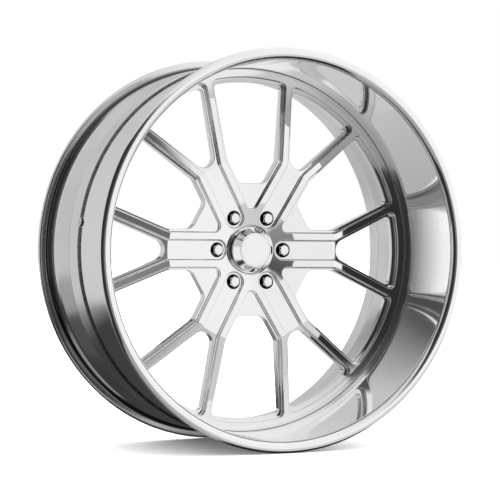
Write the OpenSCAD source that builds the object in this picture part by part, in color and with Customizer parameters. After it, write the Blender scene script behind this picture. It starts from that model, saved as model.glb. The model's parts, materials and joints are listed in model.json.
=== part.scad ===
// Two-piece welded forged truck wheel, 28 x 12 inch, six lugs, with its nuts, cap and valve.
// Frame: origin at the middle of the rim, Y is the spin axis, the outboard face looks along -Y, Z is up.
// Profiles are points [radius, height], where height is measured outboard from the rim's mid-plane.

/* [Rim] */
// Outer diameter over the flanges
flange_d = 745.8; // [740:0.1:752]
// Bead seat diameter, 28 inch
bead_d = 711.2; // [708:0.1:712]
// Overall width over both flanges
rim_w = 328.8; // [326:0.1:332]
// Thickness of each flange
flange_t = 12; // [11:0.1:13]
// Radial height of the polished flange band
flange_band = 22.4; // [21:0.1:23]
// Rounding between the lip's bore and the flange's face
lip_round = 11.5; // [9:0.5:12]
// Curve of the flange's face towards its edge
flange_dome = 11.5; // [9:0.5:12]
// Height of the seam between the two rim halves
seam_h = 8.5; // [6:0.5:12]
// Outer radius of the drop centre
drop_r = 336; // [333:0.5:338]
// Wall thickness of the drop centre
drop_wall = 7.7; // [6:0.1:9]

/* [Wheel centre] */
// Radius of the centre's outer ring, a press fit in the rim before welding
ring_r = 347.3; // [347:0.1:347.3]
// Height of the ring's face
ring_face_h = -12.5; // [-14:0.5:-11]
// Height of the ring's back
ring_back_h = -32.5; // [-33:0.5:-30]
// Inner radius of the ring's raised face, where the pockets end
pocket_ring_r = 331.6; // [330:0.1:333]
// Inner radius of the ring, where the windows end
window_ring_r = 322; // [320:0.5:324]
// Height of the face at the crest, where each spoke forks
crest_h = 12.5; // [9:0.5:15]
// Height of the face beside the cap
hub_face_h = -2.3; // [-3.5:0.1:0]
// Radius of the dish round the cap
dish_r = 93; // [90:1:96]
// Height of the face at the dish's rim
dish_h = 5.6; // [5:0.1:6]
// Height of the pockets' floor beside the cap
hub_floor_h = -6.9; // [-8:0.1:-6]
// Depth of the pockets on the spokes
pocket_depth = 7.5; // [5:0.5:9]
// Depth of the pockets at the ring
ring_pocket_depth = 9.5; // [7:0.5:10]
// Back of the spokes near the hub
web_back_h = -17; // [-20:0.5:-15]

/* [Spokes] */
// Number of spokes, each forks into two tines
spokes = 6; // [6:1:6]
// Width of the channel along each spoke
channel_w = 38; // [34:0.5:40]
// Width of each spoke over its two raised ribs
spoke_w = 66; // [62:0.5:68]
// Radius at which a spoke forks
fork_r = 177; // [170:1:180]
// Angle of each tine from its spoke
tine_angle = 22.8; // [21:0.1:24]
// Width of the ledge between a pocket's edge and its window
ledge = 6; // [4:0.5:7]
// Distance of the web's edge from the wheel's axis
web_edge = 127.5; // [120:0.5:132]
// Radius of the fork's window at its nose
fork_window_r = 182; // [180:0.5:186]

/* [Hub] */
// Bolt circle diameter
bolt_circle = 139.7; // [139.7:0.1:139.7]
// Stud hole diameter
stud_hole_d = 15.6; // [15:0.1:16.5]
// Diameter of the pocket round each nut
nut_pocket_d = 28; // [27:0.5:30]
// Height of the mounting pad, the wheel's offset
pad_h = -44; // [-46:0.5:-42]
// Radius of the mounting pad
pad_r = 90; // [86:1:94]
// Hub bore diameter
hub_bore_d = 78.1; // [76:0.1:84]
// Bore for the cap
cap_bore_d = 90.4; // [90:0.1:91]

/* [Nuts and cap] */
// Width of a nut across its flats
nut_af = 19; // [17:1:21]
// Height of a nut's front end
nut_top_h = 3.5; // [2:0.5:6]
// Diameter of the cap's front disc
cap_front_d = 65; // [60:1:68]
// Diameter of the cap's skirt
cap_skirt_d = 89; // [86:0.5:89.4]
// Height of the cap's front
cap_top_h = 19.9; // [17:0.1:22]
// Diameter of the cap's rim, in front of the skirt
cap_rim_d = 84; // [82:0.5:86]
// Height at which the cap's cone meets its rim
cap_rim_h = 7.5; // [6:0.5:9]

/* [Valve] */
// Angle of the valve round the rim, counted from +X
valve_angle = 172; // [160:1:200]
// Valve hole diameter
valve_hole_d = 11.5; // [11.3:0.1:11.7]
// Diameter of the valve's head outside the rim
valve_head_d = 17; // [15:1:19]

/* [Hidden] */

$fn = 48;
half_w = rim_w / 2;
flange_r = flange_d / 2;
bead_r = bead_d / 2;
lip_r = flange_r - flange_band;
sleeve_r = ring_r + 0.2;
lip_taper = lip_r - sleeve_r;
shell_r = bead_r - 1.8;
drop_in_r = drop_r - drop_wall;
sector = 360 / spokes;
lug_r = bolt_circle / 2;
channel_r = channel_w / 2;
ring_crease_r = pocket_ring_r + 1;
ring_step_r = window_ring_r + 1;
rib_r = spoke_w / 2;
cut = 60;

// ---- outline helpers

// Unit vector at angle a
function unit(a) = [cos(a), sin(a)];

// Points along an arc round c, n steps, from angle a to angle b
function arc(c, r, a, b, n) = [for (i = [0:n]) c + r * unit(a + (b - a) * i / n)];

// The same arc without its first point
function arc_on(c, r, a, b, n) = [for (i = [1:n]) c + r * unit(a + (b - a) * i / n)];

// Rounds the corner at p, where an outline heading along angle a turns to angle b
function turn(p, a, b, r, n) =
    let (s = sign(b - a), t = r * tan(abs(b - a) / 2), c = p - t * unit(a) + s * r * unit(a + 90))
    arc(c, r, a - s * 90, b - s * 90, n);

// Centre of the round of radius r between a line through p along angle a and a circle of radius ring
function ring_round(p, a, s, ring, r) =
    let (q = p + s * r * unit(a + 90), b = q * unit(a))
    q + (sqrt(b * b - q * q + pow(ring - r, 2)) - b) * unit(a);

// End of half a window: a line through p along angle a, its round, and the ring as far as angle m
function window_end(p, a, s, ring, r, m) =
    let (c = ring_round(p, a, s, ring, r), f = atan2(c[1], c[0]))
    concat(arc(c, r, a - s * 90, f, 5), arc_on([0, 0], ring, f, m, 4));

// Closes an outline whose half starts and ends on the line at angle m
function mirrored(half, m) =
    concat(half, [for (i = [len(half) - 2:-1:1])
        let (p = half[i])
        [p[0] * cos(2 * m) + p[1] * sin(2 * m), p[0] * sin(2 * m) - p[1] * cos(2 * m)]]);

// Point where a side of half width w, set off by d, forks
function fork(w, d) = [fork_r - d * tan(tine_angle / 2), w + d];

// Channel round one nut and the pocket between its tines
fork_pocket = mirrored(concat(
    arc([lug_r, 0], channel_r, 180, 90, 6),
    turn(fork(channel_r, 0), 0, tine_angle, 20, 3),
    window_end(fork(channel_r, 0), tine_angle, -1, pocket_ring_r, 12, 0)), 0);

// Window between two tines, its nose touches both sides
nose_p = fork(channel_r, -ledge);
nose_r = (nose_p[1] * cos(tine_angle) + (fork_window_r - nose_p[0]) * sin(tine_angle))
    / (1 - sin(tine_angle));
fork_window = mirrored(concat(
    arc([fork_window_r + nose_r, 0], nose_r, 180, tine_angle + 90, 6),
    window_end(nose_p, tine_angle, -1, window_ring_r, 9, 0)), 0);

// Pocket between two spokes, with its vertex near the cap
vertex_round = 12;
side_pocket = mirrored(concat(
    arc(2 * (rib_r + vertex_round) * unit(sector / 2), vertex_round, 180 + sector / 2, 270, 4),
    turn(fork(rib_r, 0), 0, tine_angle, 20, 3),
    window_end(fork(rib_r, 0), tine_angle, 1, pocket_ring_r, 12, sector / 2)), sector / 2);

// Window between two spokes, cut off by the web's straight edge
web_corner = [(web_edge - (rib_r + ledge) * sin(sector / 2)) / cos(sector / 2), rib_r + ledge];
side_window = mirrored(concat(
    [web_edge * unit(sector / 2)],
    turn(web_corner, sector / 2 - 90, 0, 18, 5),
    turn(fork(rib_r, ledge), 0, tine_angle, 20, 3),
    window_end(fork(rib_r, ledge), tine_angle, 1, window_ring_r, 9, sector / 2)), sector / 2);

// ---- placing helpers

// Turns the modelling axis, outboard along +Z, into the wheel's frame
module on_axle() { rotate([90, 0, 0]) children(); }

// Repeats its children at each spoke
module each_spoke() {
    for (k = [0:spokes - 1])
        rotate(k * sector) children();
}

// Solid of revolution from a profile of [radius, height]
module spun(profile) { rotate_extrude($fn = 180) polygon(profile); }

// Frame of the valve on the seam: +Z points at the wheel's axis, the origin is on the rim's bore
module at_valve() { rotate(valve_angle) translate([sleeve_r, 0, seam_h]) rotate([0, -90, 0]) children(); }
module on_valve() { on_axle() at_valve() children(); }

// Plain round shape between heights a and b
module disc(r, a, b) { translate([0, 0, a]) cylinder(r = r, h = b - a); }

// Tube between heights a and b
module tube(r_out, r_in, a, b) {
    difference() {
        disc(r_out, a, b);
        disc(r_in, a - 1, b + 1);
    }
}

// Cone frustum between heights a and b
module cone(r_a, r_b, a, b) { translate([0, 0, a]) cylinder(r1 = r_a, r2 = r_b, h = b - a); }

// ---- rim

// Half of a rim's flange and bead seat, from the bore at the flange to the end of the bead seat
flange_back_h = half_w - flange_t;
dome_end = 46;
edge_round = 3;
edge_run = (flange_dome - edge_round) * unit(dome_end);
back_round = 4;
seat_round = 6;
flange_profile = concat(
    arc([lip_r + lip_round, half_w - lip_round], lip_round, 180, 90, 7),
    arc([flange_r - edge_round - edge_run[0], half_w - flange_dome], flange_dome, 90, dome_end, 4),
    arc_on([flange_r - edge_round, half_w - flange_dome + edge_run[1]], edge_round, dome_end, 0, 2),
    arc([flange_r - back_round, flange_back_h + back_round], back_round, 0, -90, 3),
    arc([bead_r + seat_round, flange_back_h - seat_round], seat_round, 90, 180, 4),
    [[bead_r, flange_back_h - 10], [bead_r - 1.8, flange_back_h - 28],
     [bead_r, flange_back_h - 33], [shell_r, flange_back_h - 40]]);

function flipped(profile) = [for (p = profile) [p[0], -p[1]]];

// Polished outboard half with the deep lip
module outer_rim_half() color([0.86, 0.86, 0.87]) on_axle() difference() {
    spun(concat(flange_profile, [[shell_r, seam_h], [sleeve_r, seam_h]]));
    at_valve() disc(valve_hole_d / 2, -cut, cut);
}

// Inboard half with the seat for the centre and the drop centre
module inner_rim_half() color([0.66, 0.67, 0.68]) on_axle() difference() {
    spun(concat(
        flipped(flange_profile),
        [[drop_r, -75], [drop_r, -51], [shell_r, -44.5], [shell_r, seam_h],
         [sleeve_r, seam_h], [sleeve_r, ring_back_h], [drop_in_r, ring_back_h],
         [drop_in_r, -78.5], [sleeve_r, 43 - half_w]]));
    at_valve() disc(valve_hole_d / 2, -cut, cut);
}

// Crowned weld bead round the outside of the seam, cut away under the valve's head
bead_half_w = 8;
bead_rise = 3.2;
module rim_seam_weld() color([0.42, 0.42, 0.43]) on_axle() difference() {
    r = (bead_half_w * bead_half_w + bead_rise * bead_rise) / (2 * bead_rise);
    a = asin(bead_half_w / r);
    spun(arc([shell_r + bead_rise - r, seam_h], r, -a, a, 7));
    at_valve() disc(valve_head_d / 2 + 0.6, -cut, 0);
}

// Fillet weld between the centre's back and the rim
module center_weld_rear() color([0.5, 0.5, 0.51]) on_axle()
    spun([[drop_in_r, ring_back_h], [drop_in_r, ring_back_h - 5], [drop_in_r - 2.5, ring_back_h - 3.6],
          [ring_step_r, ring_back_h]]);

// ---- centre

// Everything above the floor of the pockets
module above_floor() {
    spun([[0, hub_floor_h], [45, hub_floor_h], [dish_r, dish_h - pocket_depth],
          [fork_r - 1, crest_h - pocket_depth], [ring_crease_r, ring_face_h - ring_pocket_depth],
          [ring_r + 5, ring_face_h - ring_pocket_depth], [ring_r + 5, cut], [0, cut]]);
}

// Nut pocket, tapered seat and stud hole at one lug
module lug_hole() {
    translate([lug_r, 0, 0]) {
        disc(nut_pocket_d / 2, -28, cut);
        cone(stud_hole_d / 2, 11, -33.6, -28);
        disc(stud_hole_d / 2, pad_h - 1, -33);
    }
}

// Round-ended relief in the mounting pad between two lugs
module pad_relief() {
    for (a = [-9, 0, 9])
        rotate(sector / 2 + a) translate([lug_r, 0, pad_h - 1]) cylinder(r = 11, h = 11);
}

module forged_center() color([0.8, 0.8, 0.81]) on_axle() difference() {
    spun([[hub_bore_d / 2, pad_h + 2], [hub_bore_d / 2 + 2, pad_h], [pad_r, pad_h],
          [pad_r + 6, pad_h + 6], [108, web_back_h - 1], [fork_r, web_back_h + 2],
          [ring_step_r, ring_back_h], [ring_r, ring_back_h], [ring_r, ring_face_h - 1.5],
          [ring_r - 1.5, ring_face_h], [ring_crease_r, ring_face_h + 0.5], [fork_r - 1, crest_h],
          [dish_r, dish_h], [cap_bore_d / 2 + 3, hub_face_h], [cap_bore_d / 2, hub_face_h - 3],
          [cap_bore_d / 2, -20], [hub_bore_d / 2, -20]]);
    intersection() {
        above_floor();
        each_spoke() translate([0, 0, -cut]) linear_extrude(2 * cut) {
            polygon(fork_pocket);
            polygon(side_pocket);
        }
    }
    each_spoke() {
        translate([0, 0, -cut]) linear_extrude(2 * cut) {
            polygon(fork_window);
            polygon(side_window);
        }
        lug_hole();
        pad_relief();
    }
}

// ---- cap

// The cap's radii: front disc, rim, skirt, inside of both and recess for the emblem
cap_r = cap_front_d / 2;
cap_rim_r = cap_rim_d / 2;
cap_in_r = cap_rim_r - 3;
skirt_r = cap_skirt_d / 2;
skirt_in_r = skirt_r - 3;
emblem_r = cap_r - 2.2;
emblem_t = 1.2;
cap_back_h = -17;
step_h = -5.4;
clip_r = 0.65;
clip_h = -14.75;
seal_r = 1.05;
seal_h = -7.8;

module center_cap_body() color([0.83, 0.83, 0.84]) on_axle()
    spun([
        [0, cap_top_h - 4], [cap_r - 3, cap_top_h - 4], [cap_in_r, cap_rim_h - 3],
        [cap_in_r, step_h - 1], [skirt_in_r, step_h - 3.5],
        [skirt_in_r, cap_back_h], [skirt_r - 0.8, cap_back_h], [skirt_r - 0.8, clip_h - 0.75],
        [skirt_r - 2.2, clip_h - 0.75], [skirt_r - 2.2, clip_h + 0.75],
        [skirt_r, clip_h + 0.75], [skirt_r, seal_h - 1.2],
        [skirt_r - 1.6, seal_h - 1.2], [skirt_r - 1.6, seal_h + 1.2],
        [skirt_r, seal_h + 1.2], [skirt_r, step_h - 0.8], [skirt_r - 0.8, step_h],
        [cap_rim_r, step_h], [cap_rim_r, cap_rim_h - 1], [cap_rim_r - 0.6, cap_rim_h],
        [cap_r, cap_top_h - 0.7], [cap_r - 0.8, cap_top_h],
        [emblem_r, cap_top_h], [emblem_r, cap_top_h - emblem_t], [0, cap_top_h - emblem_t]]);

// Plain disc let into the cap's front
module cap_emblem_disc() color([0.9, 0.9, 0.91]) on_axle()
    spun([[0, cap_top_h - emblem_t], [emblem_r - 0.2, cap_top_h - emblem_t],
          [emblem_r - 0.2, cap_top_h - 0.3], [emblem_r - 0.8, cap_top_h], [0, cap_top_h]]);

module cap_o_ring() color([0.08, 0.08, 0.08]) on_axle()
    rotate_extrude($fn = 90) translate([skirt_r - 0.55, seal_h]) circle(r = seal_r, $fn = 20);

// Split spring ring in the groove at the cap's back edge
module cap_retaining_ring() color([0.55, 0.55, 0.57]) on_axle()
    rotate([0, 0, 8])
        rotate_extrude(angle = 344, $fn = 90)
            translate([skirt_r - 1.5, clip_h]) circle(r = clip_r, $fn = 16);

// ---- nuts

// Hexagonal closed-end nut with a tapered seat
nut_seat_h = -27.9;
nut_cone_l = 4.5;
nut_dome_l = 2.4;
nut_front_r = 8.3;
thread_r = 6.2;
module lug_nut(k) color([0.88, 0.88, 0.9]) on_axle()
    rotate((k - 1) * sector) translate([lug_r, 0, 0]) difference() {
        union() {
            intersection() {
                translate([0, 0, nut_seat_h])
                    cylinder(d = nut_af / cos(30), h = nut_top_h - nut_seat_h, $fn = 6);
                union() {
                    disc(nut_af / 2 + 2, nut_seat_h, nut_top_h - nut_dome_l);
                    cone(nut_af / 2 + 1.6, nut_front_r, nut_top_h - nut_dome_l, nut_top_h);
                }
            }
            cone(8.2, 10.6, nut_seat_h - nut_cone_l, nut_seat_h);
        }
        disc(thread_r, nut_seat_h - nut_cone_l - 1, nut_top_h - 5);
    }

// ---- valve, in its own frame

lip_out_h = sleeve_r - shell_r - 0.1;
seal_out_h = lip_out_h - 1.5;
head_out_h = seal_out_h - 1.5;
stem_r = 5.2;
tip_r = 3.9;
tip_end = 31;
core_r = 2.4;
core_seat = 9;
pin_r = 0.55;

module valve_stem() color([0.7, 0.69, 0.66]) on_valve() difference() {
    union() {
        disc(valve_head_d / 2 - 0.6, head_out_h, seal_out_h - 0.1);
        disc(stem_r, seal_out_h - 0.1, 11);
        disc(tip_r, 11, tip_end);
    }
    disc(1.2, head_out_h - 1, core_seat + 1);
    disc(core_r, core_seat, tip_end + 1);
}

// Seal between the stem's head and the lip, with a neck in the valve hole
module valve_grommet() color([0.07, 0.07, 0.07]) on_valve() {
    tube(valve_head_d / 2, stem_r + 0.1, seal_out_h, lip_out_h);
    tube(valve_hole_d / 2 - 0.05, stem_r + 0.1, lip_out_h, -0.6);
}

module valve_washer() color([0.72, 0.72, 0.72]) on_valve() tube(8.5, stem_r + 0.2, 0.3, 1.6);

module valve_nut() color([0.75, 0.75, 0.75]) on_valve() difference() {
    translate([0, 0, 1.7]) cylinder(d = 14 / cos(30), h = 6, $fn = 6);
    disc(stem_r + 0.1, 0, 9);
}

module valve_core_barrel() color([0.75, 0.65, 0.4]) on_valve() tube(core_r - 0.1, 1.1, 20, 29);

module valve_core_seal() color([0.1, 0.1, 0.1]) on_valve() tube(core_r - 0.1, 0.75, 18.6, 19.9);

// Pin with the collar that closes on the seal
module valve_core_pin() color([0.78, 0.68, 0.45]) on_valve() {
    disc(pin_r, 11.5, 30.4);
    disc(2, 17.2, 18.4);
}

// Coil round the pin, on the stem's inner shoulder, drawn at its pressed length
coil_r = 1.7;
wire_r = 0.18;
coil_turns = 6;
coil_pitch = 1.05;
coil_steps = 12;
coil_sides = 6;
function coil_ring(i) =
    let (a = 360 * i / coil_steps)
    [for (j = [0:coil_sides - 1])
        let (b = 360 * j / coil_sides, r = coil_r + wire_r * cos(b))
        [r * cos(a), r * sin(a), coil_pitch * i / coil_steps + wire_r * sin(b)]];
module valve_core_spring() color([0.6, 0.6, 0.62]) on_valve() translate([0, 0, core_seat + wire_r + 0.05]) {
    n = coil_turns * coil_steps;
    polyhedron(
        points = [for (i = [0:n]) each coil_ring(i)],
        faces = concat(
            [[for (j = [0:coil_sides - 1]) j]],
            [for (i = [0:n - 1]) for (j = [0:coil_sides - 1])
                [i * coil_sides + j, (i + 1) * coil_sides + j,
                 (i + 1) * coil_sides + (j + 1) % coil_sides, i * coil_sides + (j + 1) % coil_sides]],
            [[for (j = [coil_sides - 1:-1:0]) n * coil_sides + j]]));
}

module valve_cap() color([0.75, 0.75, 0.76]) on_valve() difference() {
    union() {
        disc(5, 24, 33.5);
        cone(5, 4, 33.5, 34.5);
    }
    disc(tip_r + 0.2, 23, 32.7);
}

module valve_cap_seal() color([0.1, 0.1, 0.1]) on_valve() tube(tip_r + 0.1, 2.6, 31.3, 32.6);

// ---- assembly

forged_center();
outer_rim_half();
inner_rim_half();
rim_seam_weld();
center_weld_rear();
center_cap_body();
cap_emblem_disc();
cap_o_ring();
cap_retaining_ring();
for (k = [1:spokes])
    lug_nut(k);
valve_stem();
valve_grommet();
valve_washer();
valve_nut();
valve_core_barrel();
valve_core_pin();
valve_core_spring();
valve_core_seal();
valve_cap();
valve_cap_seal();
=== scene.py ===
# Two-piece forged wheel rim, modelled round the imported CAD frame.
# The skins are built in the axle's frame: plan coordinates (u, v), and the height h outboard of the rim's
# middle, which are X, Z and -Y in the frame. All sizes are metres.
import json
import math

import bpy
import numpy as np
from mathutils import Matrix, Vector
from mathutils.geometry import delaunay_2d_cdt


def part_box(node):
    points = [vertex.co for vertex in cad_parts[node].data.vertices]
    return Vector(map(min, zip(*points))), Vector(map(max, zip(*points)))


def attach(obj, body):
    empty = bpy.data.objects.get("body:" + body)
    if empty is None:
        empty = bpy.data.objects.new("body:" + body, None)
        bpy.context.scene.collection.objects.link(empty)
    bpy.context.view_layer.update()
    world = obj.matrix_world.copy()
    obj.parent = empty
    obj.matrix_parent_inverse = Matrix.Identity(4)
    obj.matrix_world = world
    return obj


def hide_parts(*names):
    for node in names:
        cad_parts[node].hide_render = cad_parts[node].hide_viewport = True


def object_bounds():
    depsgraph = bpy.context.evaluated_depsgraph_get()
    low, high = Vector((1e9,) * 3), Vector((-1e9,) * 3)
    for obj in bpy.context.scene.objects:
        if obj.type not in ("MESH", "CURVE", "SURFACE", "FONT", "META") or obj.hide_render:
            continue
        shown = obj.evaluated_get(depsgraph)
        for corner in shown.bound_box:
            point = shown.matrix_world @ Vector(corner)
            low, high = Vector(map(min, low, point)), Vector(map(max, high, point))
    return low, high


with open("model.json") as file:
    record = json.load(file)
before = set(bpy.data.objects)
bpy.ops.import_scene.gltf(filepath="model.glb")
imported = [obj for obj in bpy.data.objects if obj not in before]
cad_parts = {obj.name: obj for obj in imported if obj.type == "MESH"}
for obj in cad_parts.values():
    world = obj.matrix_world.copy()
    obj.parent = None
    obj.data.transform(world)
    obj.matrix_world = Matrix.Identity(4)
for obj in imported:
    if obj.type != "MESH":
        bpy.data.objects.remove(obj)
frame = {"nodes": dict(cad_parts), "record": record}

cad_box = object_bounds()
MOUNTS = {m["name"]: m for m in frame["record"]["mounts"]}
MM = 0.001

# ---- sizes taken from the frame

FLANGE_R, HALF_W = cad_box[1][:2]
LUG_R = MOUNTS["lug_holes"]["dims"]["pcd_mm"] * MM / 2
STUD_HOLE_R = MOUNTS["lug_holes"]["dims"]["hole_r_mm"] * MM
HUB_BORE_R = MOUNTS["hub_bore"]["dims"]["r_mm"] * MM
THREAD_R = MOUNTS["nut_thread_1"]["dims"]["r_mm"] * MM
RING_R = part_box("forged_center")[1][0]
PAD_H = -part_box("forged_center")[1][1]
CREST_H = -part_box("forged_center")[0][1]
SEAM_H = -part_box("outer_rim_half")[1][1]
CAP_TOP_H = -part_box("center_cap_body")[0][1]
CAP_BACK_H = -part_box("center_cap_body")[1][1]
SKIRT_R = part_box("center_cap_body")[1][0]
NUT_TOP_H = -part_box("lug_nut_1")[0][1]

# ---- driving sizes of the skins

SPOKES = 6
SECTOR = 360 / SPOKES
SLEEVE_R = RING_R + 0.0002
RIB_R = 0.033
CHANNEL_R = 0.019
FORK_R = 0.177
TINE = 22.8
LEDGE = 0.006
POCKET_RING_R = 0.3316
WINDOW_RING_R = 0.322
FORK_WINDOW_R = 0.182
WEB_EDGE = 0.1275
CAP_BORE_R = 0.0452
PAD_R = 0.090
BEAD_R = 0.3556
SHELL_R = BEAD_R - 0.0018
LIP_R = FLANGE_R - 0.0224
LIP_ROUND = 0.0115
FLANGE_T = 0.012
FLANGE_DOME = 0.0115
DOME_TURN = 44
EDGE_ROUND = 0.003
DROP_R = 0.336
DROP_IN_R = DROP_R - 0.0077
DROP_END = 0.075
NUT_POCKET_R = 0.014
HUB_FACE_H = -0.0023
HUB_FLOOR_H = -0.0069
DISH_R = 0.093
DISH_H = 0.0056
DISH_SOFT = 0.008
POCKET_DEPTH = 0.0075
RING_FACE_H = -0.0125
RING_FLOOR_H = -0.022
RING_BACK_H = -0.0325
WEB_BACK_R = 0.108
WEB_BACK_H = -0.017
CAP_SEAT_H = -0.020
RELIEF_DEPTH = 0.010
SEAT_TOP_H = -0.028
SEAT_TOP_R = 0.011
SEAT_FOOT_H = -0.0336
DROP_IN_END = 0.0785
VALVE_ANGLE = 172

# Rounds of the centre's edges
TOP_ROUND = 0.0015
FLOOR_ROUND = 0.0028
WINDOW_ROUND = 0.0012
BACK_ROUND = 0.001
LUG_ROUND = 0.0008
STUD_ROUND = 0.0006
RELIEF_ROUND = 0.0008
RING_ROUND = 0.0015
RING_BACK_ROUND = 0.0005
BORE_CHAMFER = 0.003
HUB_CHAMFER = 0.002


# ---- plan outlines: rows of [u, v, nu, nv], the normal points into the opening

def unit(angle):
    return np.array([math.cos(math.radians(angle)), math.sin(math.radians(angle))])


def arc(centre, radius, start, end, side, step=5.0):
    """Rows along an arc. side is 1 where the opening is left of the way along, else -1."""
    count = max(2, math.ceil(abs(end - start) / step))
    rows = []
    for angle in np.linspace(start, end, count + 1):
        out = unit(angle)
        inward = out * (-side if end > start else side)
        rows.append([*(np.asarray(centre) + radius * out), *inward])
    return rows


def turn(corner, start, end, radius, side):
    """Rounds the corner where an outline heading along start turns to end."""
    s = 1 if end > start else -1
    reach = radius * math.tan(math.radians(abs(end - start)) / 2)
    centre = np.asarray(corner) - reach * unit(start) + s * radius * unit(start + 90)
    return arc(centre, radius, start - s * 90, end - s * 90, side)


def window_end(point, heading, s, ring, radius, middle, side):
    """A line through point, its round into the ring, and the ring as far as the angle middle."""
    q = np.asarray(point) + s * radius * unit(heading + 90)
    b = q @ unit(heading)
    centre = q + (math.sqrt(b * b - q @ q + (ring - radius) ** 2) - b) * unit(heading)
    meet = math.degrees(math.atan2(centre[1], centre[0]))
    return arc(centre, radius, heading - s * 90, meet, side) + arc((0, 0), ring, meet, middle, side, 1.5)[1:]


def mirrored(half, middle):
    """Closes an outline whose half starts and ends on the line at the angle middle."""
    c, s = math.cos(math.radians(2 * middle)), math.sin(math.radians(2 * middle))
    flip = np.array([[c, s], [s, -c]])
    half = np.array(half)
    back = half[-2:0:-1]
    return np.vstack([half, np.hstack([back[:, :2] @ flip, back[:, 2:] @ flip])])


def split_long(loop, longest=0.008):
    """Adds rows along straight stretches, so that a skin can follow the cone of the face."""
    rows = []
    for a, b in zip(loop, np.roll(loop, -1, axis=0)):
        count = max(1, math.ceil(np.linalg.norm(b[:2] - a[:2]) / longest))
        rows += [a + (b - a) * i / count for i in range(count)]
    return np.array(rows)


def fork_point(half_width, offset):
    return np.array([FORK_R - offset * math.tan(math.radians(TINE / 2)), half_width + offset])


def fork_pocket():
    """Channel round one nut and the pocket between its tines."""
    corner = fork_point(CHANNEL_R, 0)
    return mirrored(arc((LUG_R, 0), CHANNEL_R, 180, 90, -1) + turn(corner, 0, TINE, 0.020, -1)
                    + window_end(corner, TINE, -1, POCKET_RING_R, 0.012, 0, -1), 0)


def fork_window():
    """Window between two tines, its nose touches both sides."""
    side = fork_point(CHANNEL_R, -LEDGE)
    sin, cos = math.sin(math.radians(TINE)), math.cos(math.radians(TINE))
    nose = (side[1] * cos + (FORK_WINDOW_R - side[0]) * sin) / (1 - sin)
    return mirrored(arc((FORK_WINDOW_R + nose, 0), nose, 180, TINE + 90, -1)
                    + window_end(side, TINE, -1, WINDOW_RING_R, 0.009, 0, -1), 0)


def side_pocket():
    """Pocket between two spokes, with its vertex near the cap."""
    corner, vertex = fork_point(RIB_R, 0), 0.012
    centre = 2 * (RIB_R + vertex) * unit(SECTOR / 2)
    return mirrored(arc(centre, vertex, 180 + SECTOR / 2, 270, 1) + turn(corner, 0, TINE, 0.020, 1)
                    + window_end(corner, TINE, 1, POCKET_RING_R, 0.012, SECTOR / 2, 1), SECTOR / 2)


def side_window():
    """Window between two spokes, cut off by the web's straight edge."""
    side = fork_point(RIB_R, LEDGE)
    reach, half = RIB_R + LEDGE, math.radians(SECTOR / 2)
    corner = ((WEB_EDGE - reach * math.sin(half)) / math.cos(half), reach)
    middle = WEB_EDGE * unit(SECTOR / 2)
    return mirrored([[*middle, *unit(SECTOR / 2)]] + turn(corner, SECTOR / 2 - 90, 0, 0.018, 1)
                    + turn(side, 0, TINE, 0.020, 1)
                    + window_end(side, TINE, 1, WINDOW_RING_R, 0.009, SECTOR / 2, 1), SECTOR / 2)


def circle(radius, into=-1, centre=(0, 0), step=2.0):
    """Round outline. into is -1 where the opening is inside it, 1 where it is outside."""
    turns = [unit(a) for a in np.arange(0, 360, step)]
    return np.array([[*(np.asarray(centre) + radius * d), *(into * d)] for d in turns])


def relief_outline():
    """Kidney between two lugs in the mounting pad."""
    spread, width = 9, 0.011
    start, end = SECTOR / 2 - spread, SECTOR / 2 + spread
    rows = arc((0, 0), LUG_R + width, start, end, 1, 2)
    rows += arc(LUG_R * unit(end), width, end, end + 180, 1, 12)[1:]
    rows += arc((0, 0), LUG_R - width, end, start, 1, 2)[1:]
    rows += arc(LUG_R * unit(start), width, start + 180, start + 360, 1, 12)[1:-1]
    return np.array(rows)


def spun_round(loop, angle):
    c, s = math.cos(math.radians(angle)), math.sin(math.radians(angle))
    turn_by = np.array([[c, s], [-s, c]])
    return np.hstack([loop[:, :2] @ turn_by, loop[:, 2:] @ turn_by])


def offset(loop, distance):
    return loop[:, :2] + distance * loop[:, 2:]


# ---- profiles over the radius

class Profile:
    """Height and slope over the radius from corners [radius, height, soft].

    Each corner is bent over a stretch of soft on either side of its radius.
    """

    def __init__(self, corners):
        pts = np.array([c[:2] for c in corners])
        slopes = np.diff(pts[:, 1]) / np.diff(pts[:, 0])
        rows = [[*pts[0], slopes[0]]]
        for corner, before, after in zip(corners[1:-1], slopes, slopes[1:]):
            r, h, soft = [*corner, 0.0015][:3]
            rows += [[r - soft, h - soft * before, before], [r + soft, h + soft * after, after]]
        rows.append([*pts[-1], slopes[-1]])
        self.r, self.h, self.s = np.array(rows).T

    def height(self, p):
        return float(np.interp(np.hypot(p[0], p[1]), self.r, self.h))

    def normal(self, p, facing=1):
        r = np.hypot(p[0], p[1])
        slope = np.interp(r, self.r, self.s) / max(r, 1e-9)
        n = facing * np.array([-slope * p[0], -slope * p[1], 1.0])
        return n / np.linalg.norm(n)


def cut_by_rings(loop, cuts):
    """Adds rows where the loop, moved by a distance along its normals, crosses each radius."""
    rows = []
    for a, b in zip(loop, np.roll(loop, -1, axis=0)):
        found = {0.0}
        for distance, radii in cuts:
            p, q = a[:2] + distance * a[2:], b[:2] + distance * b[2:]
            d = q - p
            for radius in radii:
                square, slope = d @ d, 2 * p @ d
                inside = slope ** 2 - 4 * square * (p @ p - radius * radius)
                if inside <= 0 or square <= 0:
                    continue
                for root in (-math.sqrt(inside), math.sqrt(inside)):
                    t = (-slope + root) / (2 * square)
                    if 1e-5 < t < 1 - 1e-5:
                        found.add(t)
        rows += [a + (b - a) * t for t in sorted(found)]
    return np.array(rows)


# ---- skins

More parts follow.
